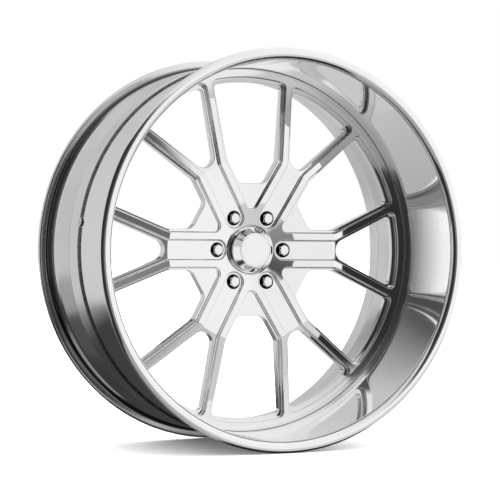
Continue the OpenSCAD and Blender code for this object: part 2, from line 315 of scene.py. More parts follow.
class Skin:
    """Faces with a normal of their own at each corner. Corners that meet are welded."""

    def __init__(self):
        self.points, self.index, self.faces, self.normals = [], {}, [], []

    def vertex(self, p):
        key = tuple(int(round(c * 1e6)) for c in p)
        if key not in self.index:
            self.index[key] = len(self.points)
            self.points.append(tuple(float(c) for c in p))
        return self.index[key]

    def face(self, corners, normals):
        ids = [self.vertex(p) for p in corners]
        keep = [i for i in range(len(ids)) if ids[i] != ids[i - 1]]
        if len(keep) < 3 or len({ids[i] for i in keep}) < len(keep):
            return
        pts = [np.array(corners[i]) for i in keep]
        across = np.cross(pts[1] - pts[0], pts[2] - pts[0])
        if len(pts) == 4:
            across = np.cross(pts[2] - pts[0], pts[3] - pts[1])
        if across @ sum(normals[i] for i in keep) < 0:
            keep.reverse()
        self.faces.append([ids[i] for i in keep])
        self.normals.append([normals[i] for i in keep])

    def strip(self, rows, closed=True):
        """Quads between neighbouring rows of (point, normal)."""
        pairs = zip(rows, rows[1:] + rows[:1]) if closed else zip(rows, rows[1:])
        for a, b in pairs:
            for i in range(len(a) - 1):
                four = (a[i], b[i], b[i + 1], a[i + 1])
                self.face([q[0] for q in four], [q[1] for q in four])

    def fill(self, loops, profile, facing=1):
        """Triangulates what lies inside an odd number of the loops, on the profile's surface."""
        points, index, edges = [], {}, []

        def add(p):
            key = (int(round(p[0] * 1e6)), int(round(p[1] * 1e6)))
            if key not in index:
                index[key] = len(points)
                points.append(np.array(p))
            return index[key]

        for loop in loops:
            ids = [add(p) for p in loop]
            edges += [(a, b) for a, b in zip(ids, ids[1:] + ids[:1]) if a != b]
        ends = np.vstack(loops)
        radii = np.hypot(ends[:, 0], ends[:, 1])
        for ring in profile.r:
            if not radii.min() + 1e-5 < ring < radii.max() - 1e-5:
                continue
            on = ends[abs(radii - ring) < 2e-6]
            angles = sorted(math.degrees(math.atan2(p[1], p[0])) % 360 for p in on)
            free = [a for a in np.arange(0, 360, 2.0)
                    if all(abs((a - b + 180) % 360 - 180) > 0.5 for b in angles)]
            places = [(a, ring * unit(a)) for a in free]
            places += [(math.degrees(math.atan2(p[1], p[0])) % 360, p) for p in on]
            ids = [add(p) for _, p in sorted(places, key=lambda item: item[0])]
            edges += [(a, b) for a, b in zip(ids, ids[1:] + ids[:1]) if a != b]
        result = delaunay_2d_cdt([Vector(p * 1000) for p in points], edges, [], 0, 1e-5)
        places = [points[origin[0]] if origin else np.array(p) / 1000
                  for p, origin in zip(result[0], result[3])]
        corners = np.array([[places[i] for i in tri] for tri in result[2]])
        centres = corners.mean(axis=1)
        odd = np.zeros(len(centres), bool)
        for loop in loops:
            odd ^= contains(loop, centres)
        for tri in corners[odd]:
            self.face([(*p, profile.height(p)) for p in tri], [profile.normal(p, facing) for p in tri])

    def build(self, name, material, slot, body, nodes=(), place=None):
        """Makes the object in the frame's axes, with its body and the CAD nodes it stands for. Its slot is
        not used.
        """
        turn_to = np.array([[1, 0, 0], [0, 0, -1], [0, 1, 0]], float)
        pts = np.array(self.points)
        nrm = np.array([n for face in self.normals for n in face])
        if place is not None:
            turn_of, shift = np.array(place.to_3x3()), np.array(place.translation)
            pts, nrm = pts @ turn_of.T + shift, nrm @ turn_of.T
        mesh = bpy.data.meshes.new(name)
        mesh.from_pydata((pts @ turn_to.T).tolist(), [], self.faces)
        mesh.polygons.foreach_set("use_smooth", [True] * len(mesh.polygons))
        mesh.materials.append(material)
        mesh.validate()
        mesh.normals_split_custom_set((nrm @ turn_to.T).tolist())
        obj = bpy.data.objects.new(name, mesh)
        bpy.context.scene.collection.objects.link(obj)
        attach(obj, body)
        if nodes:
            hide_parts(*nodes)


def contains(loop, places):
    """Which places lie inside the closed loop."""
    a, b = loop, np.roll(loop, -1, axis=0)
    inside = np.zeros(len(places), bool)
    for (x0, y0), (x1, y1) in zip(a, b):
        if y0 != y1:
            hit = ((places[:, 1] < y0) != (places[:, 1] < y1))
            inside ^= hit & (places[:, 0] < x0 + (places[:, 1] - y0) * (x1 - x0) / (y1 - y0))
    return inside


def blend(a, b, share):
    n = a * math.cos(share) + b * math.sin(share)
    return n / np.linalg.norm(n)


def quarter(steps):
    return [math.pi / 2 * i / steps for i in range(steps + 1)]


def edge_down(p, n, profile, radius, steps=6):
    """Rounded edge from a surface that faces up, down into an opening at p."""
    start = p - radius * n
    z, up, side = profile.height(start), profile.normal(start), np.array([*n, 0.0])
    return [((*(start + radius * math.sin(t) * n), z - radius * (1 - math.cos(t))), blend(up, side, t))
            for t in quarter(steps)]


def cove(p, n, profile, radius, steps=6):
    """Rounded inside corner from a wall at p out onto a floor that faces up."""
    end = p + radius * n
    z, up, side = profile.height(end), profile.normal(end), np.array([*n, 0.0])
    return [((*(end - radius * math.cos(t) * n), z + radius * (1 - math.sin(t))), blend(side, up, t))
            for t in quarter(steps)]


def edge_back(p, n, profile, radius, steps=4):
    """Rounded edge from a wall at p round to a surface that faces down."""
    end = p - radius * n
    z, down, side = profile.height(end), profile.normal(end, -1), np.array([*n, 0.0])
    return [((*(end + radius * math.cos(t) * n), z + radius * (1 - math.sin(t))), blend(side, down, t))
            for t in quarter(steps)]


def swept(loop, section):
    """One row of (point, normal) for each row of the loop."""
    return [section(row[:2], row[2:]) for row in loop]


def rounded(corners, step=9.0):
    """Profile [radius, height] from corners [radius, height, round]."""
    pts = [np.array(c[:2], float) for c in corners]
    rows = []
    for i, corner in enumerate(corners):
        p, before, after = pts[i], pts[i - 1], pts[(i + 1) % len(pts)]
        a, b = (before - p) / np.linalg.norm(before - p), (after - p) / np.linalg.norm(after - p)
        bend = math.acos(max(-1, min(1, float(a @ b))))
        if corner[2] <= 0 or bend > math.pi - 1e-3:
            rows.append(p)
            continue
        reach = corner[2] / math.tan(bend / 2)
        centre = p + (a + b) / np.linalg.norm(a + b) * corner[2] / math.sin(bend / 2)
        start, end = p + a * reach - centre, p + b * reach - centre
        t0, t1 = math.atan2(start[1], start[0]), math.atan2(end[1], end[0])
        sweep = (t1 - t0 + math.pi) % (2 * math.pi) - math.pi
        count = max(2, math.ceil(abs(math.degrees(sweep)) / step))
        turns = [t0 + sweep * k / count for k in range(count + 1)]
        rows += [centre + corner[2] * np.array([math.cos(t), math.sin(t)]) for t in turns]
    return np.array(rows)


def lathe(skin, profile, segments=256, crease=32.0, centre=(0, 0), opened=False):
    """Surface of revolution from a profile [radius, height], which is closed unless it is opened."""
    a, b = profile, np.roll(profile, -1, axis=0)
    keep = np.linalg.norm(b - a, axis=1) > 1e-7
    a, b = a[keep], np.roll(a[keep], -1, axis=0)
    edge = b - a
    length = np.linalg.norm(edge, axis=1)
    area = np.sum(a[:, 0] * b[:, 1] - b[:, 0] * a[:, 1])
    out = np.column_stack([edge[:, 1], -edge[:, 0]]) / length[:, None] * (1 if area > 0 else -1)
    before = np.roll(out, 1, axis=0)
    smooth = np.sum(out * before, axis=1) > math.cos(math.radians(crease))
    if opened:
        smooth[[0, -1]] = False
    mixed = out * length[:, None] + before * np.roll(length, 1)[:, None]
    mixed /= np.linalg.norm(mixed, axis=1)[:, None] + 1e-12
    turns = [unit(360 * k / segments) for k in range(segments)]
    for i in range(len(a) - 1 if opened else len(a)):
        j = (i + 1) % len(a)
        if a[i][0] < 1e-7 and b[i][0] < 1e-7:
            continue
        first = mixed[i] if smooth[i] else out[i]
        last = mixed[j] if smooth[j] else out[i]
        rows = []
        for d in turns:
            rows.append([((*(np.asarray(centre) + p[0] * d), p[1]), np.array([*(n[0] * d), n[1]]))
                         for p, n in ((a[i], first), (b[i], last))])
        skin.strip(rows)


# ---- materials

class Shader:
    """Small helper for node materials."""

    def __init__(self, name):
        self.material = bpy.data.materials.new(name)
        self.material.use_nodes = True
        self.tree = self.material.node_tree
        self.main = next(n for n in self.tree.nodes if n.type == "BSDF_PRINCIPLED")
        self.place = self.add("ShaderNodeTexCoord").outputs["Object"]

    def add(self, kind, links=(), **values):
        node = self.tree.nodes.new(kind)
        for key, value in values.items():
            setattr(node, key, value)
        for socket, source in dict(links).items():
            self.tree.links.new(source, node.inputs[socket])
        return node

    def noise(self, scale, detail=3.0, place=None):
        node = self.add("ShaderNodeTexNoise", {"Vector": place or self.place})
        node.inputs["Scale"].default_value = scale
        node.inputs["Detail"].default_value = detail
        return node.outputs["Fac"]

    def spread(self, source, low, high, start=0.3, end=0.7):
        """Goes from low to high as the source goes from start to end."""
        node = self.add("ShaderNodeMapRange", {"Value": source})
        for key, value in zip(("From Min", "From Max", "To Min", "To Max"), (start, end, low, high)):
            node.inputs[key].default_value = value
        return node.outputs["Result"]

    def tint(self, source, low, high):
        """Colour from low to high as the source goes from 0 to 1."""
        node = self.add("ShaderNodeMix", data_type="RGBA")
        self.tree.links.new(source, node.inputs["Factor"])
        node.inputs["A"].default_value = (*low, 1)
        node.inputs["B"].default_value = (*high, 1)
        return node.outputs["Result"]

    def over(self, tint, share, colour):
        """The tint with a colour over a share of it."""
        mixed = self.tint(share, colour, colour)
        self.tree.links.new(tint, mixed.node.inputs["A"])
        return mixed

    def round_place(self):
        """Distance from the axle as X and place along it as Y, without the angle."""
        parts = self.axes(self.place)
        flat = self.add("ShaderNodeCombineXYZ", {"X": parts["X"], "Z": parts["Z"]})
        length = self.add("ShaderNodeVectorMath", {"Vector": flat.outputs["Vector"]}, operation="LENGTH")
        joined = self.add("ShaderNodeCombineXYZ", {"X": length.outputs["Value"], "Y": parts["Y"]})
        return joined.outputs["Vector"]

    def math(self, operation, *sources):
        """Result of a math node whose sources are sockets or numbers."""
        node = self.add("ShaderNodeMath", operation=operation)
        for socket, source in zip(node.inputs, sources):
            if hasattr(source, "is_output"):
                self.tree.links.new(source, socket)
            else:
                socket.default_value = source
        return node.outputs[0]

    def axes(self, place):
        return self.add("ShaderNodeSeparateXYZ", {"Vector": place}).outputs

    def set(self, key, value):
        socket = self.main.inputs[key]
        if hasattr(value, "is_output"):
            self.tree.links.new(value, socket)
        else:
            socket.default_value = value

    def bump(self, source, strength, distance):
        node = self.add("ShaderNodeBump", {"Height": source})
        node.inputs["Strength"].default_value = strength
        node.inputs["Distance"].default_value = distance
        self.set("Normal", node.outputs["Normal"])


def metal(name, low, high, rough, grain=40.0):
    """Metal whose tint and polish vary softly."""
    s = Shader(name)
    s.set("Metallic", 1.0)
    s.set("Base Color", s.tint(s.spread(s.noise(grain * 0.4), 0, 1), low, high))
    s.set("Roughness", s.spread(s.noise(grain), *rough))
    return s.material


def masked(s, place, *steps):
    """Share that is 1 where every step (axis, start, end) has risen from 0 at its start to 1 at its end."""
    parts, share = s.axes(place), None
    for axis, start, end in steps:
        low_end, high_end = (start, end) if start < end else (end, start)
        step = s.spread(parts[axis], float(start > end), float(start < end), low_end, high_end)
        share = step if share is None else s.math("MULTIPLY", share, step)
    return share


def centre_metal_pocket_shade(name, low, high, rough, dark):
    """Polished metal, with painted shade that makes it dark deep inside the nuts' pockets."""
    s = Shader(name)
    front_y, back_y, fade = 0.0075, 0.034, 0.004
    # Painted shade: a dark colour within the pockets' outer radius, between these depths behind the front.
    share = masked(s, s.round_place(), ("X", LUG_R + NUT_POCKET_R + MM, LUG_R + NUT_POCKET_R),
                   ("Y", front_y, front_y + fade), ("Y", back_y, back_y - fade))
    bright = s.tint(s.spread(s.noise(16.0), 0, 1), low, high)
    s.set("Metallic", 1.0)
    s.set("Base Color", s.over(bright, share, dark))
    s.set("Roughness", s.spread(s.noise(40.0), *rough))
    return s.material


def turned_metal(name, low, high, rough, line_scale, bump, corner_shade=None):
    """Metal with fine turning lines round the axle.

    Painted shade darkens the corners of the rear bead seat and of the drop centre.
    """
    s = Shader(name)
    place = s.round_place()
    lines = s.noise(line_scale, 4.0, place)
    s.set("Metallic", 1.0)
    tint = s.tint(s.spread(s.noise(9.0), 0, 1), low, high)
    # Painted shade: a dark colour laid over the two corners where shade falls.
    if corner_shade:
        corner_y = HALF_W - FLANGE_T
        for steps in ((("Y", corner_y - 0.016, corner_y - 0.004), ("X", BEAD_R + 0.008, BEAD_R + 0.003),
                       ("X", SHELL_R - 0.002, SHELL_R - 0.001)),
                      (("Y", DROP_END + 0.010, DROP_END + 0.004), ("X", DROP_R + 0.005, DROP_R + 0.002),
                       ("X", DROP_R - 0.002, DROP_R - 0.001))):
            tint = s.over(tint, masked(s, place, *steps), corner_shade)
    s.set("Base Color", tint)
    s.set("Roughness", s.spread(lines, *rough))
    s.bump(lines, bump, 0.00005)
    return s.material


def weld_metal(name):
    """Dark, rough weld bead with soot and small spatter."""
    s = Shader(name)
    s.set("Metallic", 1.0)
    s.set("Base Color", s.tint(s.spread(s.noise(160.0), 0, 1), (0.07, 0.07, 0.073), (0.22, 0.22, 0.225)))
    s.set("Roughness", s.spread(s.noise(420.0), 0.28, 0.6))
    s.bump(s.noise(900.0), 0.5, 0.0004)
    return s.material


def rubber(name):
    s = Shader(name)
    s.set("Base Color", s.tint(s.spread(s.noise(300.0), 0, 1), (0.012, 0.012, 0.013), (0.03, 0.03, 0.032)))
    s.set("Roughness", s.spread(s.noise(200.0), 0.5, 0.75))
    s.bump(s.noise(1500.0), 0.2, 0.0002)
    return s.material


LOOK = {
    # The last colour of polished_center is painted shade deep inside the nuts' pockets.
    "polished_center": centre_metal_pocket_shade("polished_center", (0.905, 0.91, 0.915), (0.925, 0.93, 0.935),
                                    (0.03, 0.06), (0.10, 0.10, 0.10)),
    "polished_lip": turned_metal("polished_lip", (0.90, 0.905, 0.91), (0.94, 0.945, 0.95),
                                 (0.04, 0.09), 700.0, 0.03),
    # The last colour of raw_barrel is painted shade in the corners of its bead seat and drop centre.
    "raw_barrel": turned_metal("raw_barrel", (0.80, 0.805, 0.81), (0.88, 0.885, 0.89),
                               (0.10, 0.22), 500.0, 0.10, (0.10, 0.10, 0.10)),
    "weld_bead": weld_metal("weld_bead"),
    "chrome_cap": metal("chrome_cap", (0.90, 0.90, 0.91), (0.95, 0.95, 0.955), (0.03, 0.08)),
    "emblem_plate": metal("emblem_plate", (0.90, 0.90, 0.91), (0.95, 0.95, 0.955), (0.10, 0.18)),
    "chrome_nuts": metal("chrome_nuts", (0.88, 0.88, 0.89), (0.95, 0.95, 0.955), (0.04, 0.10)),
    "chrome_valve_cap": metal("chrome_valve_cap", (0.80, 0.80, 0.81), (0.92, 0.92, 0.93), (0.08, 0.16)),
    "nickel_brass": metal("nickel_brass", (0.66, 0.64, 0.59), (0.76, 0.74, 0.69), (0.15, 0.28), 120.0),
    "brass": metal("brass", (0.72, 0.55, 0.28), (0.80, 0.64, 0.36), (0.15, 0.3), 300.0),
    "spring_steel": metal("spring_steel", (0.42, 0.42, 0.43), (0.52, 0.52, 0.53), (0.2, 0.35), 300.0),
    "rubber": rubber("rubber"),
}


# ---- the centre

CREST_R = FORK_R - MM
CREASE_R = POCKET_RING_R + MM
STEP_R = WINDOW_RING_R + MM
FACE = Profile([[CAP_BORE_R + BORE_CHAMFER, HUB_FACE_H], [DISH_R, DISH_H, DISH_SOFT], [CREST_R, CREST_H],
                [CREASE_R, RING_FACE_H + 0.0005], [RING_R, RING_FACE_H]])
FLOOR = Profile([[0.045, HUB_FLOOR_H], [DISH_R, DISH_H - POCKET_DEPTH, DISH_SOFT],
                 [CREST_R, CREST_H - POCKET_DEPTH], [CREASE_R, RING_FLOOR_H], [RING_R, RING_FLOOR_H]])
BACK = Profile([[PAD_R, PAD_H], [PAD_R + 0.006, PAD_H + 0.006], [WEB_BACK_R, WEB_BACK_H - MM],
                [FORK_R, WEB_BACK_H + 2 * MM], [STEP_R, RING_BACK_H], [RING_R, RING_BACK_H]])
PAD = Profile([[HUB_BORE_R, PAD_H], [PAD_R + MM, PAD_H]])
RELIEF = Profile([[HUB_BORE_R, PAD_H + RELIEF_DEPTH], [PAD_R + MM, PAD_H + RELIEF_DEPTH]])


def spokes_of(loop):
    return [spun_round(loop, k * SECTOR) for k in range(SPOKES)]


def pocket_section(p, n):
    return edge_down(p, n, FACE, TOP_ROUND) + cove(p, n, FLOOR, FLOOR_ROUND)


def window_section(p, n):
    return edge_down(p, n, FLOOR, WINDOW_ROUND, 4) + edge_back(p, n, BACK, BACK_ROUND)


def ring_section(p, n):
    return edge_down(p, n, FACE, RING_ROUND) + edge_back(p, n, BACK, RING_BACK_ROUND, 2)


def relief_section(p, n):
    return [((*p, RELIEF.height(p)), np.array([*n, 0.0]))] + edge_back(p, n, PAD, RELIEF_ROUND, 3)


def lug_section(p, n):
    """From the pocket's floor down to the seat, its cone and the stud hole to the pad."""
    centre, side, up = p - NUT_POCKET_R * -n, np.array([*n, 0.0]), np.array([0, 0, 1.0])
    seat_tilt = 0.52
    slant = blend(side, up, seat_tilt)

    def at(radius, height):
        return (*(centre - radius * n), height)
    rows = edge_down(p, n, FLOOR, LUG_ROUND, 3)
    rows += [(at(NUT_POCKET_R, SEAT_TOP_H), side), (at(NUT_POCKET_R, SEAT_TOP_H), up),
             (at(SEAT_TOP_R, SEAT_TOP_H), up), (at(SEAT_TOP_R, SEAT_TOP_H), slant),
             (at(STUD_HOLE_R, SEAT_FOOT_H), slant), (at(STUD_HOLE_R, SEAT_FOOT_H), side)]
    return rows + edge_back(np.array(at(STUD_HOLE_R, 0)[:2]), n, PAD, STUD_ROUND, 2)


def moved(loops, distance):
    return [offset(loop, distance) for loop in loops]


def every_spoke(loops, cuts):
    """The loops at each spoke, with rows added where the cuts need them."""
    ready = [cut_by_rings(split_long(loop), cuts) for loop in loops]
    return [turned for loop in ready for turned in spokes_of(loop)]


def forged_center():
    skin = Skin()
    pockets = every_spoke((fork_pocket(), side_pocket()), [(-TOP_ROUND, FACE.r), (FLOOR_ROUND, FLOOR.r)])
    windows = every_spoke((fork_window(), side_window()), [(-WINDOW_ROUND, FLOOR.r), (-BACK_ROUND, BACK.r)])
    lugs = spokes_of(cut_by_rings(circle(NUT_POCKET_R, -1, (LUG_R, 0), 7.5), [(-LUG_ROUND, FLOOR.r)]))
    studs, reliefs = spokes_of(circle(STUD_HOLE_R, -1, (LUG_R, 0), 7.5)), spokes_of(relief_outline())
    ring, bore, pad_edge = circle(RING_R, 1), circle(CAP_BORE_R, -1), circle(PAD_R, 1)
    hub_edge = circle(HUB_BORE_R + HUB_CHAMFER)
    for loops, section in ((pockets, pocket_section), (windows, window_section), (lugs, lug_section),
                           ([ring], ring_section)):
        for loop in loops:
            skin.strip(swept(loop, section))
    skin.fill([offset(bore, -BORE_CHAMFER), offset(ring, -RING_ROUND)] + moved(pockets, -TOP_ROUND), FACE)
    skin.fill(moved(pockets, FLOOR_ROUND) + moved(windows, -WINDOW_ROUND) + moved(lugs, -LUG_ROUND), FLOOR)
    skin.fill([offset(pad_edge, 0), offset(ring, -RING_BACK_ROUND)] + moved(windows, -BACK_ROUND), BACK, -1)
    skin.fill([offset(hub_edge, 0), offset(pad_edge, 0)] + moved(studs, -STUD_ROUND)
              + moved(reliefs, -RELIEF_ROUND), PAD, -1)
    for loop in reliefs:
        skin.strip(swept(loop, relief_section))
        skin.fill([offset(loop, 0)], RELIEF, -1)
    lathe(skin, np.array([
        [CAP_BORE_R + BORE_CHAMFER, HUB_FACE_H], [CAP_BORE_R + 0.0008, HUB_FACE_H - 0.0018],
        [CAP_BORE_R, HUB_FACE_H - BORE_CHAMFER], [CAP_BORE_R, CAP_SEAT_H], [HUB_BORE_R, CAP_SEAT_H],
        [HUB_BORE_R, PAD_H + HUB_CHAMFER], [HUB_BORE_R + HUB_CHAMFER, PAD_H]]), 180, 60, opened=True)
    skin.build("centre_skin", LOOK["polished_center"], "polished_center", "wheel", ["forged_center"])


# ---- the rim

def flange_corners():
    """From the lip's front edge over the domed flange and the bead seat to the shell."""
    back_h = HALF_W - FLANGE_T
    dome_reach = FLANGE_DOME * math.tan(math.radians(DOME_TURN / 2))
    edge_reach = EDGE_ROUND * math.tan(math.radians(45 - DOME_TURN / 2))
    reach = dome_reach + edge_reach
    edge = np.array([FLANGE_R, HALF_W]) - reach * np.array([0, math.sin(math.radians(DOME_TURN))])
    face = edge - reach * unit(-DOME_TURN)
    return [[LIP_R, HALF_W, LIP_ROUND], [*face, FLANGE_DOME], [*edge, EDGE_ROUND], [FLANGE_R, back_h, 0.004],
            [BEAD_R, back_h, 0.006], [BEAD_R, back_h - 0.010, 0.004], [SHELL_R, back_h - 0.028, 0.010],
            [BEAD_R, back_h - 0.033, 0.002], [SHELL_R, back_h - 0.040, 0.008]]


RIM_STEPS = 540


def outer_half():
    skin = Skin()
    profile = [[SLEEVE_R, SEAM_H, 0]] + flange_corners() + [[SHELL_R, SEAM_H, 0]]
    lathe(skin, rounded(profile), RIM_STEPS)
    skin.build("lip_skin", LOOK["polished_lip"], "polished_lip", "wheel", ["outer_rim_half"])


def inner_half():
    skin = Skin()
    back = [[r, -h, soft] for r, h, soft in reversed(flange_corners())]
    profile = [[SLEEVE_R, SEAM_H, 0], [SHELL_R, SEAM_H, 0], [SHELL_R, -0.0445, 0.0015],
               [DROP_R, -0.051, 0.004], [DROP_R, -DROP_END, 0.008], *back,
               [SLEEVE_R, 0.043 - HALF_W, 0.006], [DROP_IN_R, -DROP_IN_END, 0.006],
               [DROP_IN_R, RING_BACK_H, 0], [SLEEVE_R, RING_BACK_H, 0]]
    lathe(skin, rounded(profile), RIM_STEPS)
    skin.build("barrel_skin", LOOK["raw_barrel"], "raw_barrel", "wheel", ["inner_rim_half"])


def rippled_bead(name, section, ripples, depth, node, gap_at=0.0, gap=0.0):
    """Weld bead whose crown rises and falls. It may leave a gap of half width gap radians at an angle."""
    skin, count = Skin(), ripples * 4
    rows = []
    for k in range(count + 1 if gap else count):
        angle = 360 * k / count
        if gap:
            angle = gap_at + math.degrees(gap) + angle * (1 - gap / math.pi)
        d, swell = unit(angle), 1 - depth * (0.5 - 0.5 * math.cos(math.pi * k / 2))
        lean = 0.9 * depth * math.sin(math.pi * k / 2)
        side = np.array([-d[1], d[0], 0])
        row = []
        for (r, h), (nr, nh), share in section:
            n = np.array([*(nr * d), nh]) + lean * share * side
            row.append(((*((r + (swell - 1) * share * 0.003) * d), h), n / np.linalg.norm(n)))
        rows.append(row)
    skin.strip(rows, closed=not gap)
    if gap:
        for row, way in ((rows[0], -1), (rows[-1], 1)):
            across = np.array([*(way * unit(gap_at - way * math.degrees(gap) + 90)), 0.0])
            skin.face([p for p, _ in row], [across] * len(row))
    skin.build(name, LOOK["weld_bead"], "weld_bead", "wheel", [node])


def seam_bead():
    half, rise, head_gap = 0.008, 0.0032, 0.0091
    r = (half * half + rise * rise) / (2 * rise)
    steep = math.degrees(math.asin(half / r))
    section = [((SHELL_R + rise - r + r * unit(a)[0], SEAM_H + r * unit(a)[1]), unit(a), 1 - (a / steep) ** 2)
               for a in np.linspace(-steep, steep, 13)]
    rippled_bead("seam_bead", section, 360, 0.25, "rim_seam_weld", VALVE_ANGLE, head_gap / SHELL_R)


def rear_bead():
    a, b = np.array([STEP_R, RING_BACK_H]), np.array([DROP_IN_R, RING_BACK_H - 0.005])
    across = np.array([-0.69, -0.72])
    section = []
    for t in np.linspace(0, 1, 9):
        swell = 0.0006 * math.sin(math.pi * t)
        section.append((a + (b - a) * t + swell * across, across, 0.6 * math.sin(math.pi * t)))
    rippled_bead("rear_bead", section, 300, 0.25, "center_weld_rear")


# ---- cap, nuts and valve

def cap_pieces():
    """Conical cap with a stepped rim, grooves for its ring and seal, and the disc let into its front."""
    front_r, rim_r, rim_h, step_h, wall = 0.0325, 0.042, 0.0075, -0.0054, 0.003
    emblem_r, emblem_h, inner_h = front_r - 0.0022, CAP_TOP_H - 0.0012, CAP_TOP_H - 0.004
    inner_r, foot_r = SKIRT_R - wall, SKIRT_R - 0.0008
    clip_r, clip_low, clip_high = SKIRT_R - 0.0022, -0.0155, -0.014
    seal_r, seal_low, seal_high = SKIRT_R - 0.0016, -0.009, -0.0066
    skin = Skin()
    lathe(skin, rounded([
        [0, inner_h, 0], [front_r - wall, inner_h, 0.001], [rim_r - wall, rim_h - wall, 0.001],
        [rim_r - wall, step_h - 0.001, 0.0005], [inner_r, step_h - 0.0035, 0.0005], [inner_r, CAP_BACK_H, 0],
        [foot_r, CAP_BACK_H, 0.0003], [foot_r, clip_low, 0], [clip_r, clip_low, 0], [clip_r, clip_high, 0],
        [SKIRT_R, clip_high, 0.0002], [SKIRT_R, seal_low, 0.0002], [seal_r, seal_low, 0],
        [seal_r, seal_high, 0], [SKIRT_R, seal_high, 0.0001], [SKIRT_R, step_h - 0.0008, 0.0001],
        [foot_r, step_h, 0.0001], [rim_r, step_h, 0.0002], [rim_r, rim_h, 0.0007],
        [front_r, CAP_TOP_H, 0.0007], [emblem_r, CAP_TOP_H, 0.0002], [emblem_r, emblem_h, 0],
        [0, emblem_h, 0]]), 240)
    skin.build("cap_skin", LOOK["chrome_cap"], "chrome_cap", "center_cap", ["center_cap_body"])
    disc, disc_r = Skin(), emblem_r - 0.0002
    lathe(disc, rounded([[0, emblem_h, 0], [disc_r, emblem_h, 0], [disc_r, CAP_TOP_H - 0.0001, 0.0004],
                         [0, CAP_TOP_H, 0]]), 240)
    disc.build("emblem_skin", LOOK["emblem_plate"], "emblem_plate", "center_cap", ["cap_emblem_disc"])


def hex_reach(angle, across):
    """Distance from a hexagon's middle to its side."""
    return across / 2 / math.cos(math.radians((angle + 30) % 60 - 30))


def nut(k):
    """Closed hexagonal nut: six flats with chamfered tops, a round front, a seat cone and a blind thread."""
    skin, across, up = Skin(), 0.019, np.array([0, 0, 1.0])
    seat_h, seat_back_h, cone_r, cone_back_r = -0.0279, -0.0324, 0.0106, 0.0082
    front_r, dome, reach = 0.0083, 0.0024, across / 2 + 0.0016
    corner_r, bore_top_h = across / 2 / math.cos(math.radians(30)), NUT_TOP_H - 0.005
    turned_by = (k - 1) * SECTOR
    centre = LUG_R * unit(turned_by)
    slant = math.atan2(reach - front_r, dome)
    for flat in range(6):
        face = np.array([*unit(flat * 60 + turned_by), 0.0])
        rows = []
        for a in np.linspace(-30, 30, 13):
            d, r = unit(flat * 60 + a + turned_by), hex_reach(a, across)
            start = NUT_TOP_H - dome * (1 - (reach - r) / (reach - front_r))
            cone = np.array([*(d * math.cos(slant)), math.sin(slant)])
            rows.append([((*(centre + radius * d), h), n) for radius, h, n in (
                (r, seat_h, -up), (r, seat_h, face), (r, start - 0.0004, face),
                (r - 0.0001, start, blend(face, cone, math.pi / 4)), (r - 0.0006, start + 0.0005, cone),
                (front_r + 0.0006, NUT_TOP_H - 0.0006, cone),
                (front_r + 0.0001, NUT_TOP_H - 0.0002, blend(cone, up, math.pi / 4)),
                (front_r - 0.0006, NUT_TOP_H, up), (0, NUT_TOP_H, up))])
        skin.strip(rows, closed=False)
    lathe(skin, np.array([[corner_r, seat_h], [cone_r, seat_h], [cone_back_r, seat_back_h],
                          [THREAD_R, seat_back_h], [THREAD_R, bore_top_h], [0, bore_top_h]]),
          72, 20, centre, opened=True)
    skin.build(f"nut_skin_{k}", LOOK["chrome_nuts"], "chrome_nuts", f"lug_nut_{k}", [f"lug_nut_{k}"])


def valve_place():
    return (Matrix.Rotation(math.radians(VALVE_ANGLE), 4, "Z") @ Matrix.Translation((SLEEVE_R, 0, SEAM_H))
            @ Matrix.Rotation(math.radians(-90), 4, "Y"))


def round_part(name, corners, look, node):
    """Round piece of the valve from corners [radius, height, round] in millimetres."""
    skin = Skin()
    lathe(skin, rounded([[r * MM, h * MM, soft * MM] for r, h, soft in corners], 18), 72)
    skin.build(name, LOOK[look], look, "wheel", [node], valve_place())


def valve_nut():
    """Hexagonal nut with chamfered corners."""
    skin, across, bore_r, low, high = Skin(), 0.014, 0.0053, 0.0017, 0.0077
    flat_r, up = across / 2 - 0.0002, np.array([0, 0, 1.0])
    for flat in range(6):
        face = np.array([*unit(flat * 60), 0.0])
        rows = []
        for a in np.linspace(-30, 30, 9):
            d, r = unit(flat * 60 + a), hex_reach(a, across)
            dip = 0.35 * (r - across / 2)
            cone, inward = np.array([*(d * 0.5), 0.866]), -np.array([*d, 0.0])
            rows.append([((*(radius * d), h), n) for radius, h, n in (
                (bore_r, low, -up), (across / 2, low, -up), (r, low + dip, face), (r, high - dip, face),
                (r, high - dip, cone), (flat_r, high, cone), (flat_r, high, up),
                (bore_r, high, up), (bore_r, high, inward), (bore_r, low, inward))])
        skin.strip(rows, closed=False)
    skin.build("valve_nut_skin", LOOK["nickel_brass"], "nickel_brass", "wheel", ["valve_nut"], valve_place())


def valve_cap():
    """Knurled cap: fine ribs round its outside."""
    skin, ribs, rib_depth, up = Skin(), 36, 0.00018, np.array([0, 0, 1.0])
    outer_r, bore_r, low, high, bore_high = 0.005, 0.0041, 0.024, 0.0345, 0.0327
    rows = []
    for k in range(ribs * 4):
        d = unit(360 * k / (ribs * 4))
        r = outer_r - rib_depth * (0.5 - 0.5 * math.cos(math.pi * k / 2))
        plain, side = np.array([*d, 0.0]), np.array([-d[1], d[0], 0])
        out = plain - 0.45 * math.sin(math.pi * k / 2) * side
        out = out / np.linalg.norm(out)
        rows.append([((*(radius * d), h), n) for radius, h, n in (
            (bore_r, low, -up), (outer_r - 0.0004, low, -up),
            (r - 0.0001, low + 0.0003, blend(out, -up, 0.7)), (r, low + 0.0007, out),
            (r, high - 0.002, out), (r - 0.0001, high - 0.0013, blend(out, up, 0.6)),
            (outer_r - 0.0007, high - 0.0003, blend(plain, up, 0.9)), (outer_r - 0.0011, high, up),
            (0, high, up))])
    skin.strip(rows)
    lathe(skin, np.array([[bore_r, low], [bore_r, bore_high], [0, bore_high]]), 144, 30, opened=True)
    skin.build("valve_cap_skin", LOOK["chrome_valve_cap"], "chrome_valve_cap", "valve_cap", ["valve_cap"],
               valve_place())


